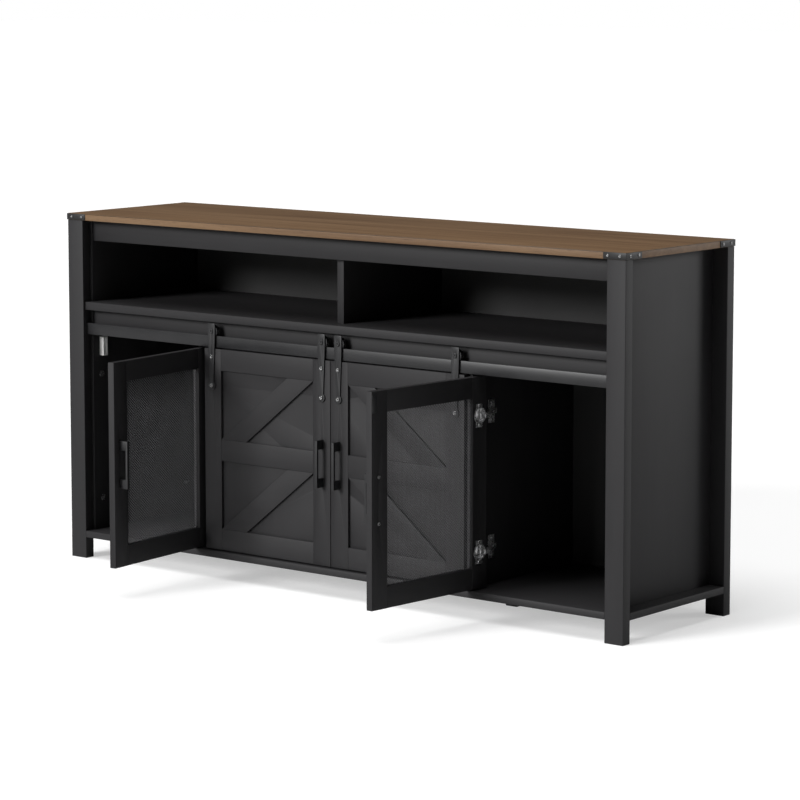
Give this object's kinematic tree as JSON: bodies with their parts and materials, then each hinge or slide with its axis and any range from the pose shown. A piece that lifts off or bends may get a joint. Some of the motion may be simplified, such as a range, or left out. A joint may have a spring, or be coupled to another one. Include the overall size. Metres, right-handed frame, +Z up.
{
  "type": "tv stand with doors",
  "caption": "Low media cabinet with a wooden top, dark posts and panels, open bays above, sliding barn doors on a flat rail in the middle and hinged mesh doors at the sides.",
  "frame": {"origin": "on the floor, under the middle of the box round the whole stand with its mesh doors open as stored: 148.4 mm in front of the middle of the cabinet's own footprint", "axes": "+X to the right of someone facing the stand, along its width; +Y from front to back; +Z up"},
  "size_m": [1.5614, 0.7001, 0.8],
  "materials": {
    "walnut": "satin laminate",
    "charcoal": "matt painted",
    "black_steel": "satin powder coat",
    "zinc": "bright zinc",
    "mesh": "satin",
    "white_plastic": "matt",
    "grey_plastic": "matt",
    "hardboard": "matt"
  },
  "bodies": {
    "cabinet": {"front_posts": "charcoal", "back_posts": "charcoal", "side_panel_left": "charcoal", "side_panel_right": "charcoal", "base_board": "charcoal", "middle_feet": "charcoal", "shelf_board": "charcoal", "upper_divider": "charcoal", "front_apron": "charcoal", "valance_panel": "charcoal", "partition_left": "charcoal", "partition_right": "charcoal", "top_board": "walnut", "back_panel_upper": "hardboard", "back_panel_left": "hardboard", "back_panel_center": "hardboard", "back_panel_right": "hardboard", "corner_brackets": "black_steel", "barn_rail": "black_steel", "rail_standoffs": "black_steel", "bracket_screws": "zinc", "hinge_arms_left": "zinc", "hinge_arms_right": "zinc", "cam_lock_caps": "grey_plastic", "magnetic_catches": "white_plastic"},
    "mesh_door_left": {"mesh_left_stile_free": "charcoal", "mesh_left_stile_hinge": "charcoal", "mesh_left_rails": "charcoal", "mesh_left_sheet": "mesh", "mesh_left_handle": "black_steel", "mesh_left_handle_screws": "zinc", "mesh_left_hinge_cups": "zinc", "mesh_left_strike": "zinc"},
    "barn_door_left": {"barn_left_panel": "charcoal", "barn_left_stiles": "charcoal", "barn_left_rails": "charcoal", "barn_left_braces": "charcoal", "barn_left_hangers": "black_steel", "barn_left_bolts": "black_steel", "barn_left_handle": "black_steel"},
    "wheel_left_outer": {"barn_left_wheel_outer": "black_steel"},
    "wheel_left_inner": {"barn_left_wheel_inner": "black_steel"},
    "mesh_door_right": {"mesh_right_stile_free": "charcoal", "mesh_right_stile_hinge": "charcoal", "mesh_right_rails": "charcoal", "mesh_right_sheet": "mesh", "mesh_right_handle": "black_steel", "mesh_right_handle_screws": "zinc", "mesh_right_hinge_cups": "zinc", "mesh_right_strike": "zinc"},
    "barn_door_right": {"barn_right_panel": "charcoal", "barn_right_stiles": "charcoal", "barn_right_rails": "charcoal", "barn_right_braces": "charcoal", "barn_right_hangers": "black_steel", "barn_right_bolts": "black_steel", "barn_right_handle": "black_steel"},
    "wheel_right_outer": {"barn_right_wheel_outer": "black_steel"},
    "wheel_right_inner": {"barn_right_wheel_inner": "black_steel"}
  },
  "joints": [
    {"name": "mesh_door_left_hinge", "type": "hinge", "parent": "cabinet", "child": "mesh_door_left", "pos_m": [-0.388, -0.0146, 0], "axis": [0, 0, 1], "range_deg": [-95, 0]},
    {"name": "barn_door_left_slide", "type": "slide", "parent": "cabinet", "child": "barn_door_left", "axis": [-1, 0, 0], "range_m": [0, 0.012]},
    {"name": "wheel_left_outer_spin", "type": "hinge", "parent": "barn_door_left", "child": "wheel_left_outer", "pos_m": [-0.3425, -0.0371, 0.558], "axis": [0, -1, 0], "range_deg": [0, 71]},
    {"name": "wheel_left_inner_spin", "type": "hinge", "parent": "barn_door_left", "child": "wheel_left_inner", "pos_m": [-0.0235, -0.0371, 0.558], "axis": [0, -1, 0], "range_deg": [0, 71]},
    {"name": "mesh_door_right_hinge", "type": "hinge", "parent": "cabinet", "child": "mesh_door_right", "pos_m": [0.388, -0.0146, 0], "axis": [0, 0, -1], "range_deg": [-95, 0]},
    {"name": "barn_door_right_slide", "type": "slide", "parent": "cabinet", "child": "barn_door_right", "axis": [1, 0, 0], "range_m": [0, 0.012]},
    {"name": "wheel_right_outer_spin", "type": "hinge", "parent": "barn_door_right", "child": "wheel_right_outer", "pos_m": [0.3425, -0.0371, 0.558], "axis": [0, 1, 0], "range_deg": [0, 71]},
    {"name": "wheel_right_inner_spin", "type": "hinge", "parent": "barn_door_right", "child": "wheel_right_inner", "pos_m": [0.0235, -0.0371, 0.558], "axis": [0, 1, 0], "range_deg": [0, 71]}
  ],
  "couplings": [
    {"joint": "wheel_left_outer_spin", "follows": "barn_door_left_slide", "rad_per_m": 103.09},
    {"joint": "wheel_left_inner_spin", "follows": "barn_door_left_slide", "rad_per_m": 103.09},
    {"joint": "wheel_right_outer_spin", "follows": "barn_door_right_slide", "rad_per_m": 103.09},
    {"joint": "wheel_right_inner_spin", "follows": "barn_door_right_slide", "rad_per_m": 103.09}
  ]
}
